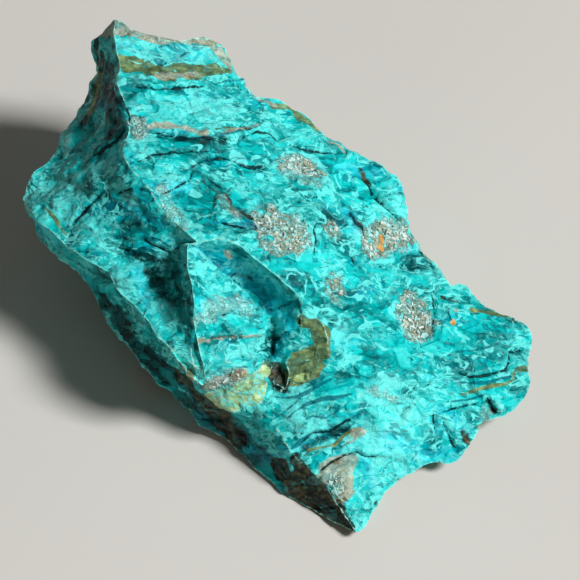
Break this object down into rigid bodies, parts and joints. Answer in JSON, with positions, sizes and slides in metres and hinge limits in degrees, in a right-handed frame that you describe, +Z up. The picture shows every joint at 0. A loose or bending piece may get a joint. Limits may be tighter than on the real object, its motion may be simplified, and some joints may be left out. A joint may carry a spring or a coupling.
{
  "type": "blue opal specimen",
  "caption": "Rough broken hand specimen of banded blue opal, angular and stepped, lying on a flat fracture.",
  "frame": {"origin": "under the middle of the stone's box, on the surface that it lies on", "axes": "+X along the stone to its thin end, +Y across it to the back rim, +Z up"},
  "size_m": [0.104, 0.0644, 0.041],
  "materials": {
    "opal": "waxy turquoise opal with pale wisps, dark cracks, olive and tan bands and rough grey grains"
  },
  "bodies": {
    "root": {"opal_stone": "opal"}
  },
  "joints": []
}
